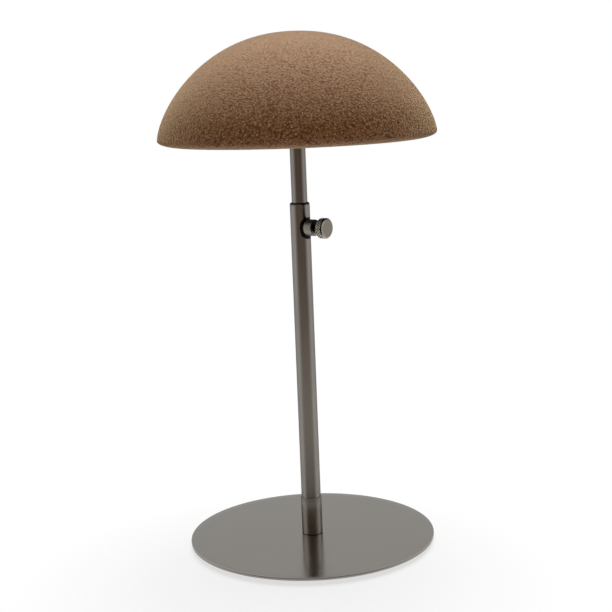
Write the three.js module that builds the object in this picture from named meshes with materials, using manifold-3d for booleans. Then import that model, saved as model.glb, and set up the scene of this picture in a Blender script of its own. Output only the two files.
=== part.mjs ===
// An adjustable hat display stand: a thin round plate on rubber feet, a collar and a tube that stand
// on it, a narrower tube that slides in the first and is clamped by a thumb screw, and a low hollow
// dome under a stretched suede cover. Millimetres, +Z up. The pole's axis is Z, the surface that the
// feet stand on is z = 0, and the thumb screw points along +X.

import * as THREE from "three";
import { mergeVertices } from "three/addons/utils/BufferGeometryUtils.js";
import Module from "manifold-3d";

const wasm = await Module();
wasm.setup();

// Clearances
const fitClearance = 0.3;
const slidingClearance = 0.15;
const seatClearance = 0.3;
const glueLine = 0.1;
const edgeGap = 0.5;
const cutOverrun = 2;

// Sides of the round pieces
const plateSides = 64;
const domeSides = 48;
const tubeSides = 32;
const smallSides = 16;
const hexSides = 6;
const quarterTurnSteps = 3;
const domeSteps = 9;

// Base plate and feet
const plateRadius = 80;
const plateThickness = 2;
const plateEdgeChamfer = 0.4;
const footCount = 4;
const footRadius = 5;
const footSoleRadius = 4;
const footHeight = 3;
const footInset = 13;

// Screw and washer under the plate
const baseScrewRadius = 3;
const baseScrewReach = 12;
const baseScrewHeadRadius = 6;
const baseScrewHeadHeight = 1.5;
const baseScrewKeyRadius = 2.3;
const baseScrewKeyDepth = 0.9;
const baseWasherRadius = 8;
const baseWasherThickness = 0.8;
const screwChamfer = 0.4;

// Collar that holds the tube on the plate
const socketRadius = 6.75;
const socketHeight = 25;
const socketEdgeRound = 0.35;
const spigotLength = 20;
const spigotChamfer = 0.8;

// Outer tube
const outerTubeRadius = 6.35;
const outerTubeWall = 1;
const outerTubeLength = 193.7;
const tubeMouthRound = 0.75;
const tubeMouthDrop = 1.8;
const tubeEndChamfer = 0.2;

// Inner tube, the bush under it and the plug in its top
const innerTubeRadius = 5;
const innerTubeWall = 0.8;
const innerTubeLength = 185;
const exposedTubeLength = 38.3;
const bushFlangeLength = 4;
const bushStemLength = 10;
const bushBoreRadius = 2;
const plugLength = 16;

// Clamp: its boss, screw and nylon tip
const clampDrop = 15.7;
const bossRadius = 5.2;
const bossLength = 5.85;
const bossChamfer = 0.4;
const bossSpigotRadius = 3.5;
const clampThreadRadius = 2.5;
const clampScrewGap = 4.6;
const knobRadius = 6.6;
const knobLength = 4.8;
const knobChamfer = 0.8;
const tipRadius = 2.1;
const tipHeadLength = 1.2;
const tipStemRadius = 1.2;
const tipStemLength = 3;

// Head: dome, cover, board and lining
const domeRadius = 87.5;
const domeHeight = 68;
const lipHeight = 4;
const lipInset = 12;
const domeSideCurveShare = 1.475;
const domeCrownCurveShare = 2.156;
const coverThickness = 0.9;
const coverTurnUnder = 9.5;
const shellWall = 2.5;
const boardInset = 8;
const boardThickness = 6;
const boardEdgeChamfer = 0.5;
const liningThickness = 0.8;

// Flange that joins the inner tube to the head
const flangeRadius = 22;
const flangeThickness = 1.8;
const flangeEdgeChamfer = 0.4;
const hubRadius = 7;
const hubHeight = 22;
const hubCapThickness = 3;
const headBoltRadius = 2.5;
const headBoltReach = 12;
const headBoltHeadRadius = 4.6;
const headBoltHeadHeight = 3.5;
const headWasherRadius = 6;
const headWasherThickness = 1;

// Wood screws through the flange, and through the board into the dome's pillars
const screwCount = 3;
const woodScrewRadius = 1.5;
const woodScrewHeadRadius = 3;
const woodScrewHeadHeight = 1.4;
const woodScrewPointLength = 1.5;
const woodScrewCrossWidth = 0.6;
const woodScrewCrossLength = 3;
const woodScrewCrossDepth = 0.8;
const flangeScrewLength = 7;
const flangeScrewCircleRadius = 16;
const shellScrewLength = 14;
const pillarRadius = 4;
const pillarInset = 29.5;

// Places worked out from the sizes above
const plateTop = footHeight + plateThickness;
const socketTop = plateTop + socketHeight;
const outerTubeBoreRadius = outerTubeRadius - outerTubeWall;
const innerTubeBoreRadius = innerTubeRadius - innerTubeWall;
const mouthHeight = socketTop + outerTubeLength;
const clampHeight = mouthHeight - clampDrop;
const headHeight = mouthHeight + exposedTubeLength;
const boardRadius = domeRadius - boardInset;
const pillarCircleRadius = domeRadius - pillarInset;
const boardBottom = coverThickness + seatClearance;
const boardTop = boardBottom + boardThickness;
const liningTop = boardBottom - glueLine;
const liningBottom = liningTop - liningThickness;
const flangeBottom = liningBottom - glueLine - flangeThickness;
const hubTop = flangeBottom + hubHeight;
const innerTubeTop = hubTop - hubCapThickness - seatClearance;
const innerTubeBottom = innerTubeTop - innerTubeLength;

const finishes = {
  plate: { color: 0x88847e, roughness: 0.32, metalness: 1 },
  tube: { color: 0x6a655f, roughness: 0.28, metalness: 1 },
  knob: { color: 0x8c8273, roughness: 0.35, metalness: 1 },
  zinc: { color: 0xa9acae, roughness: 0.4, metalness: 1 },
  rubber: { color: 0x1d1d1d, roughness: 0.85, metalness: 0 },
  nylon: { color: 0xe4e0d4, roughness: 0.55, metalness: 0 },
  shell: { color: 0x2a2725, roughness: 0.6, metalness: 0 },
  board: { color: 0xa88558, roughness: 0.8, metalness: 0 },
  suede: { color: 0x6c4e34, roughness: 0.95, metalness: 0 },
  lining: { color: 0x5b412b, roughness: 0.95, metalness: 0 },
};

// A closed three.js geometry as a solid that can be joined and cut.
function solidOf(geometry) {
  const bare = geometry.clone();
  bare.deleteAttribute("normal");
  bare.deleteAttribute("uv");
  const merged = mergeVertices(bare);
  return new wasm.Manifold(
    new wasm.Mesh({
      numProp: 3,
      vertProperties: merged.attributes.position.array,
      triVerts: new Uint32Array(merged.index.array),
    }),
  );
}

function geometryOf(solid) {
  const { vertProperties, triVerts } = solid.getMesh();
  const geometry = new THREE.BufferGeometry();
  geometry.setAttribute("position", new THREE.BufferAttribute(vertProperties, 3));
  geometry.setIndex(new THREE.BufferAttribute(triVerts, 1));
  geometry.computeVertexNormals();
  return geometry;
}

function piece(name, solid, finish) {
  const mesh = new THREE.Mesh(geometryOf(solid), new THREE.MeshStandardMaterial(finishes[finish]));
  mesh.name = name;
  return mesh;
}

// An outline of [radius, height] points, from the lower end round the outside to the upper end,
// turned about Z. It starts and ends on the axis.
function turned(outline, sides) {
  const points = outline.map(([radius, height]) => new THREE.Vector2(radius, height));
  return solidOf(new THREE.LatheGeometry(points, sides).rotateX(Math.PI / 2));
}

// The same for an outline that doesn't reach the axis: it is closed on itself.
function turnedRing(outline, sides) {
  return turned([...outline, outline[0]], sides);
}

// The same about X, with the outline's heights counted along +X.
function turnedAlongX(outline, sides) {
  const points = outline.map(([radius, reach]) => new THREE.Vector2(radius, reach));
  const geometry = new THREE.LatheGeometry(points, sides);
  return solidOf(geometry.rotateX(Math.PI / 2).rotateY(Math.PI / 2));
}

function cylinderOutline(radius, from, to) {
  return [
    [0, from],
    [radius, from],
    [radius, to],
    [0, to],
  ];
}

// A quarter of a circle or an ellipse, from one turn angle to another.
function quarterArc(radiusAt, heightAt, radiusReach, heightReach, fromAngle) {
  const points = [];
  for (let step = 0; step <= quarterTurnSteps; step += 1) {
    const angle = fromAngle + (step / quarterTurnSteps) * (Math.PI / 2);
    points.push([
      radiusAt + radiusReach * Math.cos(angle),
      heightAt + heightReach * Math.sin(angle),
    ]);
  }
  return points;
}

function moved(solid, x, y, z) {
  const geometry = geometryOf(solid);
  return solidOf(geometry.translate(x, y, z));
}

// Places evenly spaced on a circle, the first one at the start angle.
function circlePlaces(count, radius, startAngle) {
  return Array.from({ length: count }, (_, index) => {
    const angle = startAngle + (index / count) * 2 * Math.PI;
    return [radius * Math.cos(angle), radius * Math.sin(angle)];
  });
}

const footPlaces = circlePlaces(footCount, plateRadius - footInset - footRadius, Math.PI / 4);
const flangeScrewPlaces = circlePlaces(screwCount, flangeScrewCircleRadius, 0);
const pillarPlaces = circlePlaces(screwCount, pillarCircleRadius, Math.PI / 3);

// Plate, feet, and the screw that holds the collar

function basePlate() {
  const hole = baseScrewRadius + fitClearance;
  const edge = plateEdgeChamfer;
  return turnedRing(
    [
      [hole, 0],
      [plateRadius - edge, 0],
      [plateRadius, edge],
      [plateRadius, plateThickness - edge],
      [plateRadius - edge, plateThickness],
      [hole, plateThickness],
    ],
    plateSides,
  );
}

function foot() {
  return turned(
    [
      [0, 0],
      [footSoleRadius, 0],
      [footRadius, footHeight - plateEdgeChamfer],
      [footRadius, footHeight],
      [0, footHeight],
    ],
    smallSides,
  );
}

function washer(radius, holeRadius, thickness, sides) {
  return turnedRing(
    [
      [holeRadius, 0],
      [radius, 0],
      [radius, thickness],
      [holeRadius, thickness],
    ],
    sides,
  );
}

function baseScrew() {
  const shankTop = baseScrewHeadHeight + baseWasherThickness + plateThickness + baseScrewReach;
  const body = turned(
    [
      [0, 0],
      [baseScrewHeadRadius - screwChamfer, 0],
      [baseScrewHeadRadius, screwChamfer],
      [baseScrewHeadRadius, baseScrewHeadHeight],
      [baseScrewRadius, baseScrewHeadHeight],
      [baseScrewRadius, shankTop - screwChamfer],
      [baseScrewRadius - screwChamfer, shankTop],
      [0, shankTop],
    ],
    smallSides,
  );
  const keyHeight = baseScrewKeyDepth + cutOverrun;
  const key = new THREE.CylinderGeometry(baseScrewKeyRadius, baseScrewKeyRadius, keyHeight, hexSides);
  key.rotateX(Math.PI / 2).translate(0, 0, baseScrewKeyDepth - keyHeight / 2);
  return body.subtract(solidOf(key));
}

function baseSocket() {
  const round = socketEdgeRound;
  const hole = baseScrewRadius + fitClearance;
  const holeDepth = baseScrewReach + screwChamfer + fitClearance;
  const spigotRadius = outerTubeBoreRadius - fitClearance;
  const spigotTop = socketHeight + spigotLength;
  return turned(
    [
      [0, holeDepth],
      [hole, holeDepth],
      [hole, 0],
      ...quarterArc(socketRadius - round, round, round, round, -Math.PI / 2),
      ...quarterArc(socketRadius - round, socketHeight - round, round, round, 0),
      [spigotRadius, socketHeight],
      [spigotRadius, spigotTop - spigotChamfer],
      [spigotRadius - spigotChamfer, spigotTop],
      [0, spigotTop],
    ],
    tubeSides,
  );
}

// Pole tubes

function outerTube() {
  const round = tubeMouthRound;
  const drop = tubeMouthDrop;
  const end = tubeEndChamfer;
  const tube = turnedRing(
    [
      [outerTubeBoreRadius, 0],
      [outerTubeRadius - end, 0],
      [outerTubeRadius, end],
      ...quarterArc(outerTubeRadius - round, outerTubeLength - drop, round, drop, 0),
      [outerTubeBoreRadius + end, outerTubeLength],
      [outerTubeBoreRadius, outerTubeLength - end],
    ],
    tubeSides,
  );
  const holeRadius = bossSpigotRadius + fitClearance;
  const hole = turnedAlongX(cylinderOutline(holeRadius, 0, outerTubeRadius + cutOverrun), smallSides);
  return tube.subtract(moved(hole, 0, 0, outerTubeLength - clampDrop));
}

function innerTube() {
  const end = tubeEndChamfer;
  return turnedRing(
    [
      [innerTubeBoreRadius, 0],
      [innerTubeRadius - end, 0],
      [innerTubeRadius, end],
      [innerTubeRadius, innerTubeLength - end],
      [innerTubeRadius - end, innerTubeLength],
      [innerTubeBoreRadius, innerTubeLength],
    ],
    tubeSides,
  );
}

// The bush's flange runs in the outer tube, and the inner tube turns on its stem.
function guideBush() {
  const flange = outerTubeBoreRadius - slidingClearance;
  const stem = innerTubeBoreRadius - fitClearance;
  const top = bushFlangeLength + bushStemLength;
  return turnedRing(
    [
      [bushBoreRadius, 0],
      [flange - screwChamfer, 0],
      [flange, screwChamfer],
      [flange, bushFlangeLength],
      [stem, bushFlangeLength],
      [stem, top - screwChamfer],
      [stem - screwChamfer, top],
      [bushBoreRadius, top],
    ],
    tubeSides,
  );
}

function topPlug() {
  const radius = innerTubeBoreRadius - fitClearance;
  const hole = headBoltRadius + fitClearance;
  return turnedRing(
    [
      [hole, 0],
      [radius - screwChamfer, 0],
      [radius, screwChamfer],
      [radius, plugLength],
      [hole, plugLength],
    ],
    tubeSides,
  );
}

// Clamp, counted along +X from the pole's axis

const bossEnd = outerTubeRadius + bossLength;
const tipStart = innerTubeRadius + seatClearance;
const shankStart = tipStart + tipHeadLength + seatClearance;
const knobStart = bossEnd + clampScrewGap;
const knobEnd = knobStart + knobLength;

// The boss's flat end rests on the tube's crest, and its spigot is set in the tube's hole.
function clampBoss() {
  const collar = turnedAlongX(
    [
      [0, outerTubeRadius],
      [bossRadius - bossChamfer, outerTubeRadius],
      [bossRadius, outerTubeRadius + bossChamfer],
      [bossRadius, bossEnd - bossChamfer],
      [bossRadius - bossChamfer, bossEnd],
      [0, bossEnd],
    ],
    smallSides,
  );
  const spigot = turnedAlongX(cylinderOutline(bossSpigotRadius, 0, bossEnd - bossChamfer), smallSides);
  const reach = bossRadius + cutOverrun;
  const saddle = turned(cylinderOutline(outerTubeRadius + seatClearance, -reach, reach), tubeSides);
  const bore = turned(cylinderOutline(outerTubeBoreRadius, -reach, reach), tubeSides);
  const threadRadius = clampThreadRadius + fitClearance;
  const thread = turnedAlongX(cylinderOutline(threadRadius, 0, bossEnd + cutOverrun), smallSides);
  return collar.subtract(saddle).add(spigot.subtract(bore)).subtract(thread);
}

function thumbScrew() {
  const stemHole = tipStemRadius + fitClearance;
  const stemHoleEnd = shankStart + tipStemLength;
  const screw = screwChamfer;
  return turnedAlongX(
    [
      [0, stemHoleEnd],
      [stemHole, stemHoleEnd],
      [stemHole, shankStart],
      [clampThreadRadius - screw, shankStart],
      [clampThreadRadius, shankStart + screw],
      [clampThreadRadius, knobStart],
      [knobRadius - knobChamfer, knobStart],
      [knobRadius, knobStart + knobChamfer],
      [knobRadius, knobEnd - knobChamfer],
      [knobRadius - knobChamfer, knobEnd],
      [0, knobEnd],
    ],
    tubeSides,
  );
}

function clampTip() {
  const headEnd = tipStart + tipHeadLength;
  return turnedAlongX(
    [
      [0, tipStart],
      [tipRadius, tipStart],
      [tipRadius, headEnd],
      [tipStemRadius, headEnd],
      [tipStemRadius, headEnd + tipStemLength],
      [0, headEnd + tipStemLength],
    ],
    smallSides,
  );
}

// Head, counted up from the lowest line of its lip

// The dome's surface, moved inwards by an inset: a flat underside, an elliptic lip, and a
// superelliptic side and crown that meets the lip upright.
function domeBody(inset) {
  const lipCentre = domeRadius - lipInset;
  const outline = [[0, inset]];
  outline.push(...quarterArc(lipCentre, lipHeight, lipInset - inset, lipHeight - inset, -Math.PI / 2));
  const crownHeight = domeHeight - inset - lipHeight;
  for (let step = 1; step <= domeSteps; step += 1) {
    const angle = (step / domeSteps) * (Math.PI / 2);
    const side = step === domeSteps ? 0 : Math.cos(angle) ** (2 / domeCrownCurveShare);
    const rise = Math.sin(angle) ** (2 / domeSideCurveShare);
    outline.push([(domeRadius - inset) * side, lipHeight + crownHeight * rise]);
  }
  return turned(outline, domeSides);
}

function suedeCover() {
  const turnUnderRadius = domeRadius - lipInset - coverTurnUnder;
  const opening = turned(cylinderOutline(turnUnderRadius, -cutOverrun, lipHeight), domeSides);
  return domeBody(0).subtract(domeBody(coverThickness)).subtract(opening);
}

function headShell() {
  const outside = domeBody(coverThickness + seatClearance);
  const inside = domeBody(coverThickness + seatClearance + shellWall);
  const rebateRadius = boardRadius + fitClearance;
  const rebateTop = boardTop + seatClearance;
  const rebate = turned(cylinderOutline(rebateRadius, -cutOverrun, rebateTop), domeSides);
  const pilotRadius = woodScrewRadius + fitClearance;
  const pilotTop = boardBottom + shellScrewLength + seatClearance;
  let shell = outside.subtract(inside).subtract(rebate);
  for (const [x, y] of pillarPlaces) {
    const pillar = turned(cylinderOutline(pillarRadius, rebateTop, domeHeight), smallSides);
    const pilot = turned(cylinderOutline(pilotRadius, 0, pilotTop), smallSides);
    shell = shell.add(moved(pillar, x, y, 0).intersect(outside));
    shell = shell.subtract(moved(pilot, x, y, 0));
  }
  return shell;
}

// A countersunk wood screw, head down, with its face at height 0, and the hole that it needs.
function woodScrewOutline(length, growth) {
  const head = woodScrewHeadRadius + growth;
  const shank = woodScrewRadius + growth;
  return [
    [0, 0],
    [head, 0],
    [shank, woodScrewHeadHeight],
    [shank, length - woodScrewPointLength],
    [0, length],
  ];
}

function woodScrew(length) {
  const depth = woodScrewCrossDepth + cutOverrun;
  const arm = new THREE.BoxGeometry(woodScrewCrossLength, woodScrewCrossWidth, depth);
  arm.translate(0, 0, woodScrewCrossDepth - depth / 2);
  const otherArm = arm.clone().rotateZ(Math.PI / 2);
  const body = turned(woodScrewOutline(length, 0), smallSides);
  return body.subtract(solidOf(arm).add(solidOf(otherArm)));
}

function woodScrewHole(length) {
  const hole = turned(woodScrewOutline(length + seatClearance, fitClearance), smallSides);
  const run = cylinderOutline(woodScrewHeadRadius + fitClearance, -cutOverrun, 0);
  return hole.add(turned(run, smallSides));
}

function headFlange() {
  const edge = flangeEdgeChamfer;
  const socket = innerTubeRadius + fitClearance;
  const hole = headBoltRadius + fitClearance;
  const cap = hubHeight - hubCapThickness;
  let flange = turnedRing(
    [
      [socket, 0],
      [flangeRadius - edge, 0],
      [flangeRadius, edge],
      [flangeRadius, flangeThickness],
      [hubRadius, flangeThickness],
      [hubRadius, hubHeight - edge],
      [hubRadius - edge, hubHeight],
      [hole, hubHeight],
      [hole, cap],
      [socket, cap],
    ],
    tubeSides,
  );
  for (const [x, y] of flangeScrewPlaces) {
    flange = flange.subtract(moved(woodScrewHole(flangeScrewLength), x, y, 0));
  }
  return flange;
}

function headBolt() {
  const reach = headWasherThickness + hubCapThickness + headBoltReach;
  const height = headBoltHeadHeight;
  const head = new THREE.CylinderGeometry(headBoltHeadRadius, headBoltHeadRadius, height, hexSides);
  head.rotateX(Math.PI / 2).translate(0, 0, height / 2);
  const shank = cylinderOutline(headBoltRadius, -reach, height / 2);
  return solidOf(head).add(turned(shank, smallSides));
}

function closingBoard() {
  const hole = hubRadius + fitClearance;
  const edge = boardEdgeChamfer;
  let board = turnedRing(
    [
      [hole, 0],
      [boardRadius - edge, 0],
      [boardRadius, edge],
      [boardRadius, boardThickness - edge],
      [boardRadius - edge, boardThickness],
      [hole, boardThickness],
    ],
    domeSides,
  );
  for (const [x, y] of flangeScrewPlaces) {
    const screwHole = woodScrewHole(flangeScrewLength);
    board = board.subtract(moved(screwHole, x, y, flangeBottom - boardBottom));
  }
  for (const [x, y] of pillarPlaces) {
    board = board.subtract(moved(woodScrewHole(shellScrewLength), x, y, 0));
  }
  return board;
}

function undersideLining() {
  const outer = domeRadius - lipInset - coverTurnUnder - edgeGap;
  const holeRadius = woodScrewRadius + edgeGap;
  const hole = turned(
    cylinderOutline(holeRadius, -cutOverrun, liningThickness + cutOverrun),
    smallSides,
  );
  let lining = washer(outer, hubRadius + fitClearance, liningThickness, domeSides);
  for (const [x, y] of flangeScrewPlaces) {
    lining = lining.subtract(moved(hole, x, y, 0));
  }
  return lining;
}

// Adds a piece to its group, placed in the group's own frame.
function place(group, mesh, x, y, z) {
  mesh.position.set(x, y, z);
  group.add(mesh);
}

const base = new THREE.Group();
place(base, piece("base_plate", basePlate(), "plate"), 0, 0, footHeight);
footPlaces.forEach(([x, y], index) => {
  place(base, piece(`foot_${index + 1}`, foot(), "rubber"), x, y, 0);
});
const washerBottom = footHeight - baseWasherThickness;
const baseWasher = washer(
  baseWasherRadius,
  baseScrewRadius + fitClearance,
  baseWasherThickness,
  smallSides,
);
place(base, piece("base_washer", baseWasher, "zinc"), 0, 0, washerBottom);
place(base, piece("base_screw", baseScrew(), "zinc"), 0, 0, washerBottom - baseScrewHeadHeight);
place(base, piece("base_socket", baseSocket(), "tube"), 0, 0, plateTop);
place(base, piece("outer_tube", outerTube(), "tube"), 0, 0, socketTop);

const clamp = new THREE.Group();
clamp.position.z = clampHeight;
clamp.add(piece("clamp_boss", clampBoss(), "tube"));
clamp.add(piece("thumb_screw", thumbScrew(), "knob"));
clamp.add(piece("clamp_tip", clampTip(), "nylon"));

const head = new THREE.Group();
head.position.z = headHeight;
place(head, piece("inner_tube", innerTube(), "tube"), 0, 0, innerTubeBottom);
const bushBottom = innerTubeBottom - seatClearance - bushFlangeLength;
place(head, piece("guide_bush", guideBush(), "nylon"), 0, 0, bushBottom);
place(head, piece("top_plug", topPlug(), "zinc"), 0, 0, innerTubeTop - tubeEndChamfer - plugLength);
place(head, piece("head_flange", headFlange(), "zinc"), 0, 0, flangeBottom);
const headWasher = washer(
  headWasherRadius,
  headBoltRadius + fitClearance,
  headWasherThickness,
  smallSides,
);
place(head, piece("head_washer", headWasher, "zinc"), 0, 0, hubTop);
place(head, piece("head_bolt", headBolt(), "zinc"), 0, 0, hubTop + headWasherThickness);
place(head, piece("closing_board", closingBoard(), "board"), 0, 0, boardBottom);
place(head, piece("underside_lining", undersideLining(), "lining"), 0, 0, liningBottom);
flangeScrewPlaces.forEach(([x, y], index) => {
  const screw = piece(`flange_screw_${index + 1}`, woodScrew(flangeScrewLength), "zinc");
  place(head, screw, x, y, flangeBottom);
});
pillarPlaces.forEach(([x, y], index) => {
  const screw = piece(`shell_screw_${index + 1}`, woodScrew(shellScrewLength), "zinc");
  place(head, screw, x, y, boardBottom);
});
head.add(piece("head_shell", headShell(), "shell"));
head.add(piece("suede_cover", suedeCover(), "suede"));

const hatStand = new THREE.Group();
hatStand.add(base, clamp, head);

export default hatStand;
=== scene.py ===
import math
import random

import bmesh
import bpy
from mathutils import Matrix, Vector


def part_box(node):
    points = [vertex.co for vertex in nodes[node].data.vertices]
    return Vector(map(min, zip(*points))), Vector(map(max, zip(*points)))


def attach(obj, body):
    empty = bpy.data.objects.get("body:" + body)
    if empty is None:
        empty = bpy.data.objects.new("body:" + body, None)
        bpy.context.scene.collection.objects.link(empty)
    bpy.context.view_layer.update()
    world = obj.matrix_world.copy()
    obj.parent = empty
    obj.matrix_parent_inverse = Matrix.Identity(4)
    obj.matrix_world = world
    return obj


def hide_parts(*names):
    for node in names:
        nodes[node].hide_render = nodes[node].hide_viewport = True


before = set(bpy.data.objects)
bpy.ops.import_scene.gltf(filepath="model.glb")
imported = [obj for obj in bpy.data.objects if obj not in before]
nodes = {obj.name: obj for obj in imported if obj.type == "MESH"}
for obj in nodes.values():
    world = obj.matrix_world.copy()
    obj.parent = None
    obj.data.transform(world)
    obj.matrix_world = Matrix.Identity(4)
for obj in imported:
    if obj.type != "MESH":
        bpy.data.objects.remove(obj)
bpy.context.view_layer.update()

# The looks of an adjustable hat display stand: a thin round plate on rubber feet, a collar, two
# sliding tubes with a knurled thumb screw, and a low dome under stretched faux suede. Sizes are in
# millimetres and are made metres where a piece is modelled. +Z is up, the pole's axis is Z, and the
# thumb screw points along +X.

MM = 0.001
QUARTER = math.pi / 2
WHITE = (1, 1, 1, 1)


def span(node, axis="Z"):
    """A CAD node's lowest and highest place along an axis, to a hundredth of a millimetre."""
    return [round(corner["XYZ".index(axis)] / MM, 2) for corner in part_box(node)]


def reach_of(node, axis="X"):
    """How far a CAD node reaches along an axis. Across a round node this is its radius."""
    return span(node, axis)[1]


# Sizes. What a node's box shows is read from the frame. Other sizes of the solids are as in the
# part's source, and the rest are of details that only this script has.

clearance = 0.3

plate_radius = reach_of("base_plate")
plate_bottom, plate_top = span("base_plate")
plate_edge_round = 0.4
foot_circle_radius = 62
foot_radius = 5
foot_sole_radius = 4
sole_dish_radius = 1.7
sole_dish_depth = 0.35

collar_radius = reach_of("base_socket")
collar_top, outer_top = span("outer_tube")
collar_round = 0.35
collar_bore_top = 17.7
base_screw_radius = 3
base_screw_hole = base_screw_radius + clearance
screw_head_radius = reach_of("base_screw")
screw_head_bottom, base_screw_top = span("base_screw")
screw_head_top = span("base_washer")[0]
screw_key_radius = 2.3
screw_key_depth = 0.9
washer_radius = reach_of("base_washer")

outer_radius = reach_of("outer_tube")
outer_wall = 1
outer_bore = outer_radius - outer_wall
mouth_round = 0.75
mouth_drop = 1.8
spigot_radius = outer_bore - clearance
spigot_top = reach_of("base_socket", "Z")
inner_radius = reach_of("inner_tube")
inner_wall = 0.8
inner_bore = inner_radius - inner_wall
inner_bottom, inner_top = span("inner_tube")

clamp_height = sum(span("thumb_screw")) / 2
thread_radius = 2.5
thread_pitch = 0.8
thread_depth = 0.45
thread_clearance = 0.02
thread_sides = 24
thread_steps_a_turn = 12
boss_radius = reach_of("clamp_boss", "Y")
boss_end = reach_of("clamp_boss")
boss_round = 0.4
boss_bore = thread_radius + clearance
boss_hole_radius = 3.8
boss_hole_margin = 7
neck_radius = 3.49
neck_start = 5.6
neck_end = 6.6
shank_start, knob_end = span("thumb_screw", "X")
knob_start = 16.8
knob_radius = reach_of("thumb_screw", "Y")
knurl_start = knob_start + 0.45
knurl_end = knob_end - 0.75
knurl_depth = 0.45
knurl_step = 1.1
knurl_rows = 4
knurl_diamonds = 24
face_radius = knob_radius - 1
pad_start, stem_end = span("clamp_tip", "X")
pad_end = 6.5
pad_radius = reach_of("clamp_tip", "Y")
stem_radius = 1.2

dome_radius = reach_of("suede_cover")
dome_bottom, dome_top = span("suede_cover")
dome_height = dome_top - dome_bottom
lip_height = 4
lip_inset = 12
side_curve = 1.475
crown_curve = 2.156
cover_thickness = 0.9
cover_sides = 192
turn_under_radius = 66
turn_under_step = 1.9
turn_under_steps = 5
gather_end_radius = 76
gather_count = 34
gather_width = 0.035
gather_most = 0.7
lining_radius = reach_of("underside_lining")
lining_bottom, lining_top = span("underside_lining")
lining_round = 0.25
lining_hole_radius = 2

flange_radius = reach_of("head_flange")
flange_bottom, hub_top = span("head_flange")
flange_thickness = 1.8
hub_radius = 7
hub_bore = inner_radius + clearance
hub_floor = inner_top + clearance
hub_bolt_hole = 2.8
flange_screw_circle = 16
wood_screw_head = 3
wood_screw_radius = 1.5
wood_screw_length = 7
cross_width = 0.7
cross_arm = 1.25

# Rings that keep the shading of a flat or straight stretch even beside its rounded edge

plate_ring = plate_radius - 6
collar_rings = (12, 20)
boss_rings = (8, 10)
lining_ring = 40

# The studio. The camera's place and lens are in millimetres and its angles in radians. The rest
# is in metres and degrees, and what is aside is so from the camera's heading.

camera_distance = 823.7
camera_height = 305.1
camera_azimuth = math.radians(40)
camera_pan = 0.0018
camera_tilt = 0.178
camera_roll = -0.039
camera_lens = 76.71

floor_albedo = 0.44
floor_seen = 0.3
floor_glow = 0.67
floor_near = 0.6
floor_far = 2.0
world_light = 0.22
lamp_strength = 1.0
lamp_spread = 50
lamp_aside = 194
lamp_lean = 16

card_distance = 1.6
card_height = 2.2
card_top_fade = (0.3, 0.95)
card_fade = (38, 74)
card_start = 0.09
card_shaded = 0.32
card_lift = 0.0005
card_near = (0.66, 0.62, 0.57, 1)
card_far = (0.175, 0.13, 0.122, 1)
card_upright = (0.28, 0.2, 0.16, 1)
card_reach = (0.3, 1.35)

panel_light = 3.75
panel_aside = 80
panel_distance = 1.9
panel_height = 1.1
panel_reach = 1.25
panel_rise = 0.85


# Modelling, as by hand


def deselect():
    """Deselects every piece, since an operator acts on all that is selected."""
    bpy.ops.object.select_all(action="DESELECT")


def only(piece):
    """Selects one piece alone and makes it the active one."""
    deselect()
    piece.select_set(True)
    bpy.context.view_layer.objects.active = piece


def named(name):
    """Names the primitive that was just added, and puts its place into its mesh."""
    piece = bpy.context.active_object
    piece.name = name
    piece.data.name = name
    bpy.ops.object.transform_apply(location=True, rotation=True, scale=True)
    return piece


def begin(piece, kinds="VERT"):
    """Opens a piece in edit mode with nothing selected, and returns its mesh."""
    only(piece)
    bpy.ops.object.mode_set(mode="EDIT")
    bpy.ops.mesh.select_mode(type=kinds)
    bpy.ops.mesh.select_all(action="DESELECT")
    return bmesh.from_edit_mesh(piece.data)


def pick(piece, shape, parts):
    """Selects some vertices, edges or faces of a piece that is open in edit mode."""
    for part in parts:
        part.select_set(True)
    shape.select_flush_mode()
    bmesh.update_edit_mesh(piece.data)


def end():
    """Leaves edit mode."""
    bpy.ops.object.mode_set(mode="OBJECT")


def add_and_apply(piece, kind, **settings):
    """Puts a modifier on a piece, sets it, and applies it."""
    only(piece)
    modifier = piece.modifiers.new(kind.lower(), kind)
    for setting, value in settings.items():
        setattr(modifier, setting, value)
    bpy.ops.object.modifier_apply(modifier=modifier.name)


def smooth(piece, degrees=35):
    """Shades a piece smooth, apart from edges sharper than some degrees."""
    only(piece)
    bpy.ops.object.shade_smooth_by_angle(angle=math.radians(degrees))
    return piece


def arc(radius_at, reach_at, size, from_degrees, steps=4, reach_size=None):
    """A quarter turn of (radius, reach) points round a centre."""
    tall = size if reach_size is None else reach_size
    points = []
    for step in range(steps + 1):
        angle = math.radians(from_degrees + 90 * step / steps)
        points.append((radius_at + size * math.cos(angle), reach_at + tall * math.sin(angle)))
    return points


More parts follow.
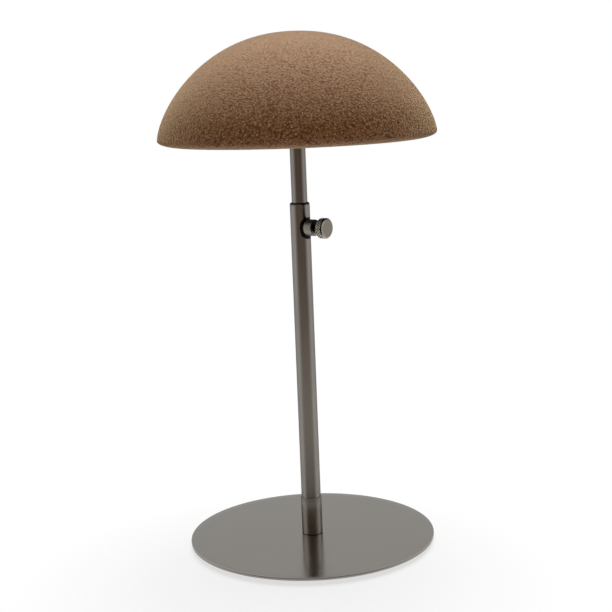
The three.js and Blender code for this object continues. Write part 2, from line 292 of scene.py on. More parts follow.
def turned(name, outline, sides, along="Z", height=0):
    """A piece turned from an outline of (radius, reach) points: a circle that is extruded, moved
    and scaled to one point after another. An outline that starts on the axis makes a closed body,
    one that only ends there a bowl, and any other is a ring that closes on itself."""
    solid = outline[0][0] == 0
    rings = outline[1:] if solid else list(outline) + [outline[0]]
    upright = along == "Z"

    def place(reach):
        return Vector((0, 0, reach)) * MM if upright else Vector((reach, 0, height)) * MM

    radius, reach = rings[0]
    deselect()
    bpy.ops.mesh.primitive_circle_add(
        vertices=sides,
        radius=radius * MM,
        fill_type="NGON" if solid else "NOTHING",
        location=place(reach),
        rotation=(0, 0, 0) if upright else (0, QUARTER, 0),
    )
    piece = named(name)
    bpy.ops.object.mode_set(mode="EDIT")
    bpy.ops.mesh.select_all(action="SELECT")
    for next_radius, next_reach in rings[1:]:
        if next_radius == 0 and next_reach == reach:
            break
        step = place(next_reach) - place(reach)
        bpy.ops.mesh.extrude_region_move(TRANSFORM_OT_translate={"value": step})
        if next_radius == 0:
            bpy.ops.mesh.merge(type="CENTER")
            break
        share = next_radius / radius
        scale = (share, share, 1) if upright else (1, share, share)
        bpy.ops.transform.resize(value=scale, center_override=place(next_reach))
        radius, reach = next_radius, next_reach
    bpy.ops.mesh.select_all(action="SELECT")
    bpy.ops.mesh.remove_doubles(threshold=0.002 * MM)
    bpy.ops.mesh.normals_make_consistent(inside=False)
    end()
    return piece


def cut(piece, tool):
    """Cuts the shape of a tool out of a piece, and removes the tool."""
    add_and_apply(piece, "BOOLEAN", object=tool, operation="DIFFERENCE", solver="EXACT")
    bpy.data.objects.remove(tool)


def drill(name, radius, low, high, x=0, y=0, sides=48):
    """An upright drill for cut()."""
    deselect()
    bpy.ops.mesh.primitive_cylinder_add(
        vertices=sides,
        radius=radius * MM,
        depth=(high - low) * MM,
        location=(x * MM, y * MM, (low + high) / 2 * MM),
    )
    return named(name)


def moved(piece, x, y):
    """Moves a finished piece's mesh."""
    piece.data.transform(Matrix.Translation(Vector((x, y, 0)) * MM))
    return piece


def copy_of(piece, name):
    """A second piece of the same shape with its own mesh."""
    twin = piece.copy()
    twin.data = piece.data.copy()
    twin.name = name
    twin.data.name = name
    bpy.context.scene.collection.objects.link(twin)
    return twin


def fitted(piece, body, material, node):
    """Gives a finished piece its material, its CAD body and the node it replaces."""
    piece.data.materials.clear()
    piece.data.materials.append(material)
    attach(piece, body)
    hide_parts(node)


def on_circle(radius, degrees):
    """The x and y of a place on a circle round the pole."""
    angle = math.radians(degrees)
    return radius * math.cos(angle), radius * math.sin(angle)


# Materials


class Wire:
    """What comes out of a material's node. Sums on it add Math nodes to the same material."""

    def __init__(self, finish, socket):
        self.finish = finish
        self.socket = socket

    def math(self, operation, first, second=0.0, clamp=False):
        """Adds one Math node."""
        settings = {"operation": operation, "use_clamp": clamp}
        return self.finish.node("ShaderNodeMath", settings, {0: first, 1: second})

    def __add__(self, other):
        return self.math("ADD", self, other)

    __radd__ = __add__

    def __mul__(self, other):
        return self.math("MULTIPLY", self, other)

    __rmul__ = __mul__

    def __sub__(self, other):
        return self.math("SUBTRACT", self, other)

    def __rsub__(self, other):
        return self.math("SUBTRACT", other, self)

    def __pow__(self, other):
        return self.math("POWER", self, other)

    def __abs__(self):
        return self.math("ABSOLUTE", self)

    def sine(self):
        return self.math("SINE", self)

    def above(self, limit):
        """1 where the value is over a limit, and 0 elsewhere."""
        return self.math("GREATER_THAN", self, limit)

    def from_to(self, start, stop):
        """How far the value has come from one limit to another, from 0 to 1."""
        return self.math("MULTIPLY", self - start, 1 / (stop - start), clamp=True)

    def held(self):
        """The same value kept between 0 and 1."""
        return self.math("ADD", self, clamp=True)


class Finish:
    """A procedural material, or the world's, while it is made."""

    def __init__(self, name, world=False):
        self.kind = "World" if world else "Material"
        self.made = bpy.data.worlds.new(name) if world else bpy.data.materials.new(name)
        self.made.use_nodes = True
        self.tree = self.made.node_tree
        self.tree.nodes.clear()

    def node(self, kind, settings=None, values=None, out=0):
        """Adds a node: first its settings, then the values or links of its sockets."""
        made = self.tree.nodes.new(kind)
        for setting, value in (settings or {}).items():
            if setting == "stops":
                for _ in value[2:]:
                    made.color_ramp.elements.new(0.5)
                for element, (place, level) in zip(made.color_ramp.elements, value):
                    element.position = place
                    element.color = shade(level, level, level)
            else:
                setattr(made, setting, value)
        for key, value in (values or {}).items():
            if isinstance(value, Wire):
                self.tree.links.new(value.socket, made.inputs[key])
            else:
                made.inputs[key].default_value = value
        return Wire(self, made.outputs[out])

    def place(self, scale=(1, 1, 1), centre=(0, 0, 0)):
        """Object coordinates, moved and then scaled."""
        seen = self.node("ShaderNodeTexCoord", out="Object")
        middle = tuple(-c * s for c, s in zip(centre, scale))
        return self.node("ShaderNodeMapping", {}, {"Vector": seen, "Location": middle, "Scale": scale})

    def noise(self, size, stretch=(1, 1, 1), detail=2.0, roughness=0.5, distortion=0.0):
        """Noise whose lumps are about one size in millimetres, stretched along the axes."""
        scale = tuple(1 / (size * MM * s) for s in stretch)
        values = {"Vector": self.place(scale), "Scale": 1.0, "Detail": detail}
        values.update({"Roughness": roughness, "Distortion": distortion})
        return self.node("ShaderNodeTexNoise", {"noise_dimensions": "3D"}, values)

    def spot(self, centre=(0, 0, 0)):
        """The three Object coordinates in millimetres, from a centre."""
        seen = self.place((1 / MM, 1 / MM, 1 / MM), tuple(c * MM for c in centre))
        split = self.node("ShaderNodeSeparateXYZ", {}, {0: seen}).socket.node
        return [Wire(self, split.outputs[axis]) for axis in "XYZ"]

    def cells(self, size, stretch=(1, 1, 1)):
        """The distance to the nearest of scattered points, about one size in millimetres apart."""
        scale = tuple(1 / (size * MM * s) for s in stretch)
        values = {"Vector": self.place(scale), "Scale": 1.0, "Randomness": 1.0}
        return self.node("ShaderNodeTexVoronoi", {"feature": "F1"}, values, out="Distance")

    def ramp(self, value, *stops):
        """Turns a value into grey, by (place, level) stops."""
        return self.node("ShaderNodeValToRGB", {"stops": stops}, {"Fac": value})

    def mix(self, share, first, second):
        """A colour between two colours."""
        settings = {"data_type": "RGBA", "blend_type": "MIX"}
        return self.node("ShaderNodeMix", settings, {0: share, 6: first, 7: second}, out=2)

    def bump(self, height, depth, strength=1.0):
        """A bump of a depth in millimetres."""
        values = {"Height": height, "Distance": depth * MM, "Strength": strength}
        return self.node("ShaderNodeBump", {}, values)

    def reach_along(self, spot, direction):
        """How far a place lies along a direction."""
        settings = {"operation": "DOT_PRODUCT"}
        return self.node("ShaderNodeVectorMath", settings, {0: spot, 1: direction}, out=1)

    def glow(self, colour, strength=1.0):
        """A shader that shines by itself."""
        return self.node("ShaderNodeEmission", {}, {"Color": colour, "Strength": strength})

    def either(self, share, first, second):
        """A shader between two shaders."""
        return self.node("ShaderNodeMixShader", {}, {0: share, 1: first, 2: second})

    def ends_in(self, shader):
        """Shows a shader, and returns the finished material or world."""
        output = self.tree.nodes.new("ShaderNodeOutput" + self.kind)
        self.tree.links.new(shader.socket, output.inputs["Surface"])
        return self.made

    def done(self, **values):
        """Ends the material in a Principled shader with these sockets."""
        sockets = {key.replace("_", " "): value for key, value in values.items()}
        return self.ends_in(self.node("ShaderNodeBsdfPrincipled", {}, sockets))


def shade(red, green, blue, times=1):
    """An opaque colour, with its levels multiplied by a number."""
    return (red * times, green * times, blue * times, 1)


def plate_metal():
    """Satin gunmetal plating on sheet: a fine straight grain, faint clouds and a painted highlight
    along the rim.
    """
    new = Finish("plate_metal")
    grain = new.noise(0.22, (1, 60, 1), detail=3.0)
    clouds = new.noise(28, detail=2.0)
    tone = (grain - 0.5) * 0.1 + (clouds - 0.5) * 0.16 + 0.5
    colour = new.mix(tone.held(), shade(0.18, 0.168, 0.152), shade(0.27, 0.254, 0.23))
    along, across, _ = new.spot()
    reach = (along * along + across * across) ** 0.5
    # Painted highlight: the rim is painted paler, standing in for light that it mirrors.
    painted_highlight = reach.from_to(plate_radius - 0.5, plate_radius - 0.2)
    colour = new.mix(painted_highlight * 0.6, colour, shade(0.37, 0.35, 0.32))
    return new.done(
        Base_Color=colour,
        Metallic=1.0,
        Roughness=0.17 + (grain - 0.5) * 0.08 + (clouds - 0.5) * 0.06,
        Specular_Tint=shade(0.75, 0.75, 0.75),
        Normal=new.bump(grain, 0.004, 0.5),
    )


def tube_metal(name, painted_light_level):
    """Gunmetal plating on drawn tube, with its grain along it. The outer tube has a painted shadow
    round the boss, a dark streak above it and painted shade at its mouth."""
    new = Finish(name)
    grain = new.noise(0.45, (1, 1, 90), detail=3.0, roughness=0.6)
    clouds = new.noise(9, (1, 1, 4), detail=2.0)
    tone = (grain - 0.5) * 0.9 + (clouds - 0.5) * 0.5 + 0.5
    # The colours are scaled by a painted light level, so that copies of one plating show some parts
    # lit brighter.
    low = shade(0.162, 0.145, 0.131, painted_light_level)
    high = shade(0.256, 0.241, 0.22, painted_light_level)
    colour = new.mix(tone.held(), low, high)
    if name == "outer_tube_metal":
        # Painted shade on the outer tube: a painted shadow round the boss and painted shade below the
        # mouth's rim, with a dark streak above the boss.
        along, across, rise = new.spot((0, 0, clamp_height))
        reach = (across * across + rise * rise) ** 0.5
        spread = abs(rise).from_to(1.2, 5.2) * 1.25 + (0 - rise).from_to(3.5, 7) * 0.8
        painted_boss_shadow = 1 - (reach - spread).from_to(boss_radius - 0.1, boss_radius + 0.25)
        streak = (1 - abs(across + 2.9).from_to(0.2, 1.3)) * rise.above(0)
        streak = streak * (1 - rise.from_to(10, 16) * 0.5)
        mouth_rise = outer_top - clamp_height
        mouth = rise.from_to(mouth_rise - 1.7, mouth_rise - 0.9)
        painted_shade = ((painted_boss_shadow * 0.97 + streak * 0.88) * along.above(2) + mouth * 0.88).held()
        colour = new.mix(painted_shade, colour, shade(0.008, 0.006, 0.005))
    return new.done(
        Base_Color=colour,
        Metallic=1.0,
        Roughness=0.22 + (grain - 0.5) * 0.1,
        Specular_Tint=shade(0.5, 0.5, 0.5),
        Normal=new.bump(grain, 0.006, 0.5),
    )


def turned_metal(name, roughness, anisotropy, painted_light_level):
    """The same plating over fine turning marks, which spread what it mirrors up and down. The collar
    has painted shade at its top and a painted contact shadow at its foot. The boss has a painted
    highlight below, painted shade above, and painted shadow under its edge and on its end."""
    new = Finish(name)
    grain = new.noise(0.35, (40, 40, 0.5), detail=3.0, roughness=0.6)
    clouds = new.noise(6, detail=2.0)
    tone = (grain - 0.5) * 0.5 + (clouds - 0.5) * 0.4 + 0.5
    # The colours are scaled by a painted light level, so that copies of one plating show some parts
    # lit brighter.
    low = shade(0.183, 0.166, 0.149, painted_light_level)
    high = shade(0.262, 0.246, 0.222, painted_light_level)
    colour = new.mix(tone.held(), low, high)
    if name == "collar_metal":
        _, _, rise = new.spot()
        # Painted shade: darker towards the top under the outer tube, and a painted contact shadow at
        # the foot on the plate.
        top = rise.from_to(collar_top - 4.5, collar_top - 0.8) * 0.3
        foot = (1 - rise.from_to(plate_top + 0.15, plate_top + 0.6)) * 0.75
        colour = new.mix((top + foot).held(), colour, shade(0.012, 0.01, 0.008))
    if name == "boss_metal":
        along, _, rise = new.spot((0, 0, clamp_height))
        # Painted light on the boss: a painted highlight below, painted shadow under its lower edge,
        # and painted shade on top.
        painted_highlight = 1 - rise.from_to(-2.8, -0.6)
        colour = new.mix(painted_highlight * 0.75, colour, shade(0.5, 0.466, 0.425))
        under = 1 - rise.from_to(-5.15, -4.4)
        colour = new.mix(under * 0.85, colour, shade(0.012, 0.009, 0.007))
        painted_dark_top = rise.from_to(1.9, 4.2)
        colour = new.mix(painted_dark_top * 0.75, colour, shade(0.03, 0.025, 0.02))
        # Painted shade on the upper part of the boss's end, which the knob hides from the light.
        painted_shade = along.above(boss_end - 0.12) * rise.from_to(-3.8, -0.6)
        colour = new.mix(painted_shade * 0.9, colour, shade(0.012, 0.009, 0.007))
    return new.done(
        Base_Color=colour,
        Metallic=1.0,
        Roughness=roughness + (grain - 0.5) * 0.12,
        Anisotropic=anisotropy,
        Specular_Tint=shade(0.5, 0.5, 0.5),
        Normal=new.bump(grain, 0.006, 0.5),
    )


def screw_metal():
    """Warm gunmetal plating, with turning marks round the screw's own axis. The knurled band is
    painted paler, with painted highlights on the diamonds' points, painted shade between them and
    painted shade on top. The face has a painted highlight on its rim on one side, the ring behind it
    has painted shade above and a painted highlight below, and the side by the boss has painted shade."""
    new = Finish("screw_metal")
    along, across, rise = new.spot((0, 0, clamp_height))
    reach = (across * across + rise * rise) ** 0.5
    marks = (reach * (2 * math.pi / 0.32)).sine()
    mottle = new.noise(0.9, detail=3.0, roughness=0.6)
    tone = (mottle - 0.5) * 1.5 + marks * 0.06 + 0.5
    colour = new.mix(tone.held(), shade(0.14, 0.12, 0.095), shade(0.25, 0.228, 0.19))
    knurl = along.above(knob_start + 0.25) * (1 - along.above(knurl_end - 0.1))
    # The knurled band is painted paler, with painted highlights on the diamonds' raised points.
    painted_tip_highlights = reach.from_to(knob_radius - knurl_depth * 0.65, knob_radius - knurl_depth * 0.2)
    colour = new.mix(knurl * 0.8, colour, shade(0.58, 0.535, 0.45))
    colour = new.mix(painted_tip_highlights * knurl, colour, shade(1.0, 0.95, 0.84))
    # Painted shade between the diamonds.
    painted_sunk_shade = 1 - reach.from_to(knob_radius - knurl_depth * 0.95, knob_radius - knurl_depth * 0.4)
    colour = new.mix(painted_sunk_shade * knurl * 0.92, colour, shade(0.014, 0.011, 0.008))
    # Painted shade: the band is darker on top.
    painted_dull_top = rise.from_to(1.8, 4.6) * knurl
    colour = new.mix(painted_dull_top * 0.8, colour, shade(0.05, 0.042, 0.032))
    # Painted highlight: the face's rim is paler on one side.
    rim = reach.from_to(4.3, 5.1) * along.above(knob_end - 0.1) * (0 - across).from_to(0.5, 3)
    colour = new.mix(rim * 0.75, colour, shade(0.34, 0.32, 0.275))
    # The ring behind the face has painted shade above and a painted highlight below.
    ring = reach.from_to(face_radius + 0.1, face_radius + 0.25) * along.above(knurl_end - 0.1)
    painted_shade_above = rise.from_to(-4.2, -2.6)
    colour = new.mix(ring * painted_shade_above * 0.92, colour, shade(0.012, 0.009, 0.007))
    colour = new.mix(ring * (1 - painted_shade_above) * 0.5, colour, shade(0.6, 0.57, 0.49))
    # Painted shade on the side of the knob next to the boss.
    painted_back_shade = (1 - along.above(knob_start + 0.08)) * rise.from_to(-4.5, -1.5)
    colour = new.mix(painted_back_shade * 0.85, colour, shade(0.02, 0.016, 0.012))
    return new.done(
        Base_Color=colour,
        Metallic=1.0,
        Roughness=0.28 + (mottle - 0.5) * 0.14,
        Normal=new.bump(marks * 0.5 + mottle * 0.5, 0.012, 0.6),
    )


def zinc():
    """Zinc plating, a little mottled."""
    new = Finish("zinc_steel")
    mottle = new.noise(0.8, detail=3.0)
    colour = new.mix(mottle, shade(0.42, 0.43, 0.44), shade(0.58, 0.59, 0.59))
    return new.done(
        Base_Color=colour,
        Metallic=1.0,
        Roughness=0.36 + (mottle - 0.5) * 0.25,
        Normal=new.bump(mottle, 0.01, 0.4),
    )


def rubber():
    """Black rubber with some dust."""
    new = Finish("rubber")
    dust = new.noise(0.5, detail=3.0)
    colour = new.mix(dust, shade(0.016, 0.016, 0.016), shade(0.035, 0.034, 0.033))
    return new.done(
        Base_Color=colour,
        Roughness=0.78 + (dust - 0.5) * 0.2,
        Normal=new.bump(dust, 0.03, 0.5),
    )


def nylon():
    """Natural nylon with flow marks."""
    new = Finish("nylon")
    flow = new.noise(1.5, detail=2.0)
    colour = new.mix(flow, shade(0.7, 0.67, 0.58), shade(0.8, 0.78, 0.7))
    return new.done(
        Base_Color=colour,
        Roughness=0.45 + (flow - 0.5) * 0.15,
        Normal=new.bump(flow, 0.01, 0.4),
    )


def moulded_plastic():
    """Spark-eroded texture of a moulded shell."""
    new = Finish("shell_plastic")
    spark = new.noise(0.35, detail=3.0)
    flow = new.noise(22, detail=1.0)
    colour = new.mix(flow, shade(0.026, 0.023, 0.021), shade(0.038, 0.033, 0.03))
    return new.done(
        Base_Color=colour,
        Roughness=0.55 + (spark - 0.5) * 0.2,
        Normal=new.bump(spark, 0.03, 0.5),
    )


def fibreboard():
    """Raw fibreboard."""
    new = Finish("board")
    fibres = new.noise(0.5, (1, 1, 0.6), detail=4.0, roughness=0.7)
    clouds = new.noise(6, detail=2.0)
    tone = fibres * 0.7 + clouds * 0.3
    colour = new.mix(tone.held(), shade(0.26, 0.165, 0.085), shade(0.5, 0.34, 0.19))
    return new.done(
        Base_Color=colour,
        Roughness=0.82 + (fibres - 0.5) * 0.16,
        Normal=new.bump(fibres, 0.05, 0.6),
    )


def felt():
    """Brown felt: tangled fibres."""
    new = Finish("lining")
    fibres = new.noise(0.3, detail=5.0, roughness=0.75, distortion=1.5)
    clumps = new.noise(2.2, detail=2.0)
    tone = fibres * 0.7 + clumps * 0.3
    colour = new.mix(tone.held(), shade(0.05, 0.028, 0.016), shade(0.17, 0.1, 0.06))
    return new.done(
        Base_Color=colour,
        Roughness=0.95,
        Normal=new.bump(tone, 0.12, 0.8),
        Sheen_Weight=0.35,
        Sheen_Roughness=0.5,
        Sheen_Tint=shade(0.9, 0.72, 0.55),
    )


def suede():
    """Faux suede: a pebbled nap whose raised points carry painted highlights. Its colour is painted
    paler towards the crown and lighter and greyer low down, as painted light, and the lip has a pale
    band of painted sheen. The nap is smoother towards the crown."""
    new = Finish("suede")
    apart = new.cells(1.32, (1.15, 1.15, 0.85))
    pebbles = 1 - apart * apart * 1.6
    fibres = new.noise(0.74, detail=1.0, roughness=0.6)
    brushed = new.noise(26, (1, 1, 0.7), detail=2.0)
    _, _, rise = new.spot((0, 0, dome_bottom))
    crown = rise.from_to(6, dome_height)
    nap = pebbles * (0.6 - crown * 0.3) + fibres * (crown * 0.3 + 1.0) + crown * 0.02
    # Painted light: the tone is raised low down as painted bounce light, and a little towards the
    # crown.
    edge = 1 - rise.from_to(1, 12)
    level = 0.4 + crown * 0.08 + edge * 0.4
    strength = 1.5 + crown * 2.2 - crown * crown * 2.6
    tone = (nap - 0.85) * strength + (brushed - 0.5) * 0.25 + level
    # Painted light: the colours turn paler towards the crown, where the light falls, and lighter and
    # greyer low down as painted bounce light.
    lip = 1 - rise.from_to(1, 11)
    dark = new.mix(crown, shade(0.098, 0.029, 0.003), shade(0.355, 0.204, 0.12))
    dark = new.mix(lip * 0.7, dark, shade(0.13, 0.06, 0.03))
    light = new.mix(crown, shade(0.295, 0.107, 0.02), shade(0.7, 0.47, 0.325))
    light = new.mix(lip * 0.7, light, shade(0.44, 0.24, 0.14))
    body = new.mix(tone.held(), dark, light)
    # Painted highlights on the nap's raised points, fewer towards the crown and low down.
    painted_tip_highlights = new.ramp(new.noise(0.9, detail=0.0, distortion=0.8), (0.64, 0), (0.72, 1))
    showing = 0.88 - crown * 0.5 - edge * 0.35
    colour = new.mix(painted_tip_highlights * pebbles.held() * showing.held(), body, shade(0.62, 0.42, 0.26))
    # A pale band along the lip: painted sheen, and a paler edge of the cloth.
    painted_sheen_and_pale_lip = 1 - rise.from_to(0.3, 1.4)
    colour = new.mix(painted_sheen_and_pale_lip * 0.6, colour, shade(0.5, 0.37, 0.26))
    return new.done(
        Base_Color=colour,
        Roughness=0.92 + (fibres - 0.5) * 0.1,
        Specular_IOR_Level=0.15,
        Normal=new.bump(nap * (1 - crown * crown * 0.4), 0.62, 1.0),
        Sheen_Weight=1.0,
        Sheen_Roughness=0.35,
        Sheen_Tint=shade(1.0, 0.75, 0.47),
    )


# The tubes, collar and boss share one plating. The last number of each is a painted light level that
# makes its copy lighter.
finish = {
    "plate": plate_metal(),
    "outer tube": tube_metal("outer_tube_metal", 1.09),
    "inner tube": tube_metal("inner_tube_metal", 1.0),
    "collar": turned_metal("collar_metal", 0.34, 0.6, 1.12),
    "boss": turned_metal("boss_metal", 0.62, 0.2, 1.3),
    "screw": screw_metal(),
    "zinc": zinc(),
    "rubber": rubber(),
    "nylon": nylon(),
    "shell": moulded_plastic(),
    "board": fibreboard(),
    "lining": felt(),
    "suede": suede(),
}


# Base: plate, feet, and the screw that holds the collar


def make_plate():
    """The round plate, with rounded edges and a hole for the screw."""
    edge = plate_edge_round
    rim = arc(plate_radius - edge, plate_bottom + edge, edge, -90)
    rim += arc(plate_radius - edge, plate_top - edge, edge, 0)
    hole = base_screw_hole
    outline = [(hole + 0.3, plate_bottom), (plate_ring, plate_bottom), *rim]
    outline += [(plate_ring, plate_top), (hole + 0.3, plate_top), (hole, plate_top - 0.3)]
    outline += [(hole, plate_bottom + 0.3)]
    plate = smooth(turned("plate", outline, 256))
    fitted(plate, "stand", finish["plate"], "base_plate")


def make_feet():
    """One moulded rubber foot with a dished sole, and three copies."""
    dish = sole_dish_depth
    outline = [(0, dish), (sole_dish_radius, dish), (sole_dish_radius + 0.6, 0)]
    outline += arc(foot_sole_radius - dish, dish, dish, -90, 3)
    outline += [(foot_radius - 0.15, plate_bottom - 0.7), (foot_radius, plate_bottom - 0.4)]
    outline += [(foot_radius, plate_bottom), (0, plate_bottom)]
    first = smooth(turned("foot_moulded_1", outline, 48))
    feet = [first] + [copy_of(first, f"foot_moulded_{number}") for number in (2, 3, 4)]
    for number, foot in enumerate(feet):
        moved(foot, *on_circle(foot_circle_radius, 45 + 90 * number))
        fitted(foot, "stand", finish["rubber"], f"foot_{number + 1}")


def make_base_screw():
    """Low head with a six-sided key hole, and the washer above it."""
    low, high = screw_head_bottom, screw_head_top
    head, shank, top = screw_head_radius, base_screw_radius, base_screw_top
    outline = [(0, low), (head - 0.5, low), (head - 0.15, low + 0.1), (head, low + 0.4)]
    outline += [(head, high), (shank, high), (shank, top - 0.4), (shank - 0.4, top), (0, top)]
    screw = turned("base_cap_screw", outline, 48)
    cut(screw, drill("key", screw_key_radius, low - 1, low + screw_key_depth, sides=6))
    fitted(smooth(screw), "stand", finish["zinc"], "base_screw")
    outline = [(base_screw_hole, high), (washer_radius - 0.15, high), (washer_radius, high + 0.15)]
    outline += [(washer_radius, plate_bottom), (base_screw_hole, plate_bottom)]
    washer = smooth(turned("base_flat_washer", outline, 64))
    fitted(washer, "stand", finish["zinc"], "base_washer")


def make_collar():
    """The turned collar, with the spigot that the outer tube is pushed on."""
    edge = collar_round
    outline = [(0, collar_bore_top), (base_screw_hole, collar_bore_top)]
    outline += [(base_screw_hole, plate_top + 0.2)]
    outline += [(base_screw_hole + 0.2, plate_top)]
    outline += arc(collar_radius - edge, plate_top + edge, edge, -90)
    outline += [(collar_radius, rise) for rise in collar_rings]
    outline += arc(collar_radius - edge, collar_top - edge, edge, 0)
    outline += [(spigot_radius, collar_top), (spigot_radius, spigot_top - 0.8)]
    outline += [(spigot_radius - 0.8, spigot_top), (0, spigot_top)]
    collar = smooth(turned("collar", outline, 128))
    fitted(collar, "stand", finish["collar"], "base_socket")


# Pole


def make_outer_tube():
    """Drawn tube with a rounded mouth, and the hole that the boss is set in."""
    hole_low, hole_high = clamp_height - boss_hole_margin, clamp_height + boss_hole_margin
    outline = [(outer_bore, collar_top), (outer_radius - 0.2, collar_top)]
    outline += [(outer_radius, collar_top + 0.2), (outer_radius, hole_low)]
    outline += [(outer_radius, hole_high)]
    middle = outer_radius - mouth_round
    outline += arc(middle, outer_top - mouth_drop, mouth_round, 0, 8, mouth_drop)
    outline += [(outer_bore + 0.2, outer_top), (outer_bore, outer_top - 0.2)]
    outline += [(outer_bore, hole_high), (outer_bore, hole_low)]
    tube = turned("lower_tube", outline, 128)
    bore = [(0, 0), (boss_hole_radius, 0), (boss_hole_radius, 10), (0, 10)]
    cut(tube, turned("bore", bore, 48, "X", clamp_height))
    fitted(smooth(tube), "stand", finish["outer tube"], "outer_tube")


def make_inner_tube():
    """The tube that slides in the other one."""
    outline = [(inner_bore, inner_bottom), (inner_radius - 0.2, inner_bottom)]
    outline += [(inner_radius, inner_bottom + 0.2), (inner_radius, inner_top - 0.2)]
    outline += [(inner_radius - 0.2, inner_top), (inner_bore, inner_top)]
    tube = smooth(turned("upper_tube", outline, 128))
    fitted(tube, "head", finish["inner tube"], "inner_tube")


# Clamp


def make_boss():
    """A turned bush whose flat end rests on the tube's crest, bored for the screw, and the neck
    that sits in the tube's hole."""
    seat, edge, wide = outer_radius, boss_round, boss_radius
    outline = [(0, seat)] + arc(wide - edge, seat + edge, edge, -90)
    outline += [(wide, reach) for reach in boss_rings]
    outline += arc(wide - edge, boss_end - edge, edge, 0) + [(0, boss_end)]
    boss = turned("boss", outline, 96, "X", clamp_height)
    cut(boss, drill("saddle", outer_radius + 0.03, clamp_height - 9, clamp_height + 9, sides=128))
    bore = [(0, 4), (boss_bore, 4), (boss_bore, boss_end - edge)]
    bore += [(boss_bore + 0.4, boss_end + 0.1), (0, boss_end + 0.1)]
    cut(boss, turned("thread_bore", bore, 48, "X", clamp_height))
    spigot = [(neck_radius, neck_start), (neck_radius, neck_end)]
    spigot += [(boss_bore, neck_end), (boss_bore, neck_start)]
    neck = turned("boss_neck", spigot, 64, "X", clamp_height)
    for piece in (neck, boss):
        fitted(smooth(piece), "stand", finish["boss"], "clamp_boss")


def make_thumb_screw():
    """The knurled head: its straight band is turned in short steps, and every second point of
    it is pushed in, which leaves rows of diamonds."""
    sides = knurl_diamonds * 2
    band = [knurl_start + knurl_step * number for number in range(knurl_rows)]
    outline = [(0, knob_start), (2.6, knob_start), (knob_radius - 0.8, knob_start)]
    outline += [(knob_radius - 0.35, knob_start + 0.2)]
    outline += [(knob_radius, reach) for reach in band]
    outline += [(knob_radius - 0.06, knurl_end), (face_radius + 0.15, knob_end - 0.08)]
    outline += [(face_radius, knob_end), (0, knob_end)]
    knob = turned("knurled_head", outline, sides, "X", clamp_height)
    shape = begin(knob)
    shape.verts.ensure_lookup_table()
    low = []
    for point in shape.verts:
        row = round((point.co.x / MM - knurl_start) / knurl_step)
        apart, rise = point.co.y / MM, point.co.z / MM - clamp_height
        if math.hypot(apart, rise) > knob_radius - 0.01 and 0 <= row < knurl_rows:
            column = round(math.atan2(apart, rise) / (2 * math.pi / sides))
            if (row + column) % 2:
                low.append(point)
    pick(knob, shape, low)
    share = (knob_radius - knurl_depth) / knob_radius
    centre = (0, 0, clamp_height * MM)
    bpy.ops.transform.resize(value=(1, share, share), center_override=centre)
    bpy.ops.mesh.select_all(action="SELECT")
    bpy.ops.mesh.quads_convert_to_tris(quad_method="SHORTEST_DIAGONAL")
    bpy.ops.mesh.normals_make_consistent(inside=False)
    end()
    fitted(smooth(knob, 20), "clamp_screw", finish["screw"], "thumb_screw")


def make_thread():
    """The screw's thread: an eccentric ring that is drawn out and turned, step by step."""
    low, high = thread_radius - thread_depth, thread_radius - thread_clearance
    deselect()
    bpy.ops.mesh.primitive_circle_add(
        vertices=thread_sides,
        radius=high * MM,
        fill_type="NGON",
        location=(shank_start * MM, 0, clamp_height * MM),
        rotation=(0, QUARTER, 0),
    )
    thread = named("screw_thread")
    shape = begin(thread)
    for point in shape.verts:
        turn = math.atan2(point.co.y, point.co.z - clamp_height * MM) / math.pi
        share = (low + (high - low) * abs(turn)) / high
        point.co.y *= share
        point.co.z = clamp_height * MM + (point.co.z - clamp_height * MM) * share
    pick(thread, shape, list(shape.verts))
    steps_a_turn = thread_steps_a_turn
    count = math.ceil((knob_start + 0.3 - shank_start) / thread_pitch * steps_a_turn)
    for number in range(count):
        reach = shank_start + (number + 1) * thread_pitch / steps_a_turn
        step = (thread_pitch / steps_a_turn * MM, 0, 0)
        bpy.ops.mesh.extrude_region_move(TRANSFORM_OT_translate={"value": step})
        bpy.ops.transform.rotate(
            value=2 * math.pi / steps_a_turn,
            orient_axis="X",
            center_override=(reach * MM, 0, clamp_height * MM),
        )
    bpy.ops.mesh.select_all(action="SELECT")
    bpy.ops.mesh.normals_make_consistent(inside=False)
    end()
    hole, far = stem_radius + clearance, stem_end + clearance
    bore = [(0, pad_start), (hole, pad_start), (hole, far), (0, far)]
    cut(thread, turned("stem_bore", bore, 32, "X", clamp_height))
    fitted(smooth(thread, 50), "clamp_screw", finish["screw"], "thumb_screw")


def make_tip():
    """The nylon pad that presses on the inner tube, and its stem in the screw."""
    wide, low, high = pad_radius, pad_start, pad_end
    outline = [(0, low), (wide - 0.3, low), (wide, low + 0.3), (wide, high - 0.15)]
    outline += [(wide - 0.15, high), (stem_radius, high), (stem_radius, stem_end - 0.3)]
    outline += [(stem_radius - 0.2, stem_end), (0, stem_end)]
    tip = smooth(turned("nylon_pad", outline, 48, "X", clamp_height))
    fitted(tip, "clamp_pad", finish["nylon"], "clamp_tip")


# Head


def dome_outline(crown_steps, lip_steps):
    """The dome's outline, from the edge of its flat underside to its top."""
    lip_top = dome_bottom + lip_height
    points = arc(dome_radius - lip_inset, lip_top, lip_inset, -90, lip_steps, lip_height)
    crown = dome_height - lip_height
    for step in range(1, crown_steps):
        angle = QUARTER * step / crown_steps
        side = math.cos(angle) ** (2 / crown_curve)
        rise = math.sin(angle) ** (2 / side_curve)
        points.append((dome_radius * side, lip_top + crown * rise))
    points.append((0, dome_bottom + dome_height))
    return points


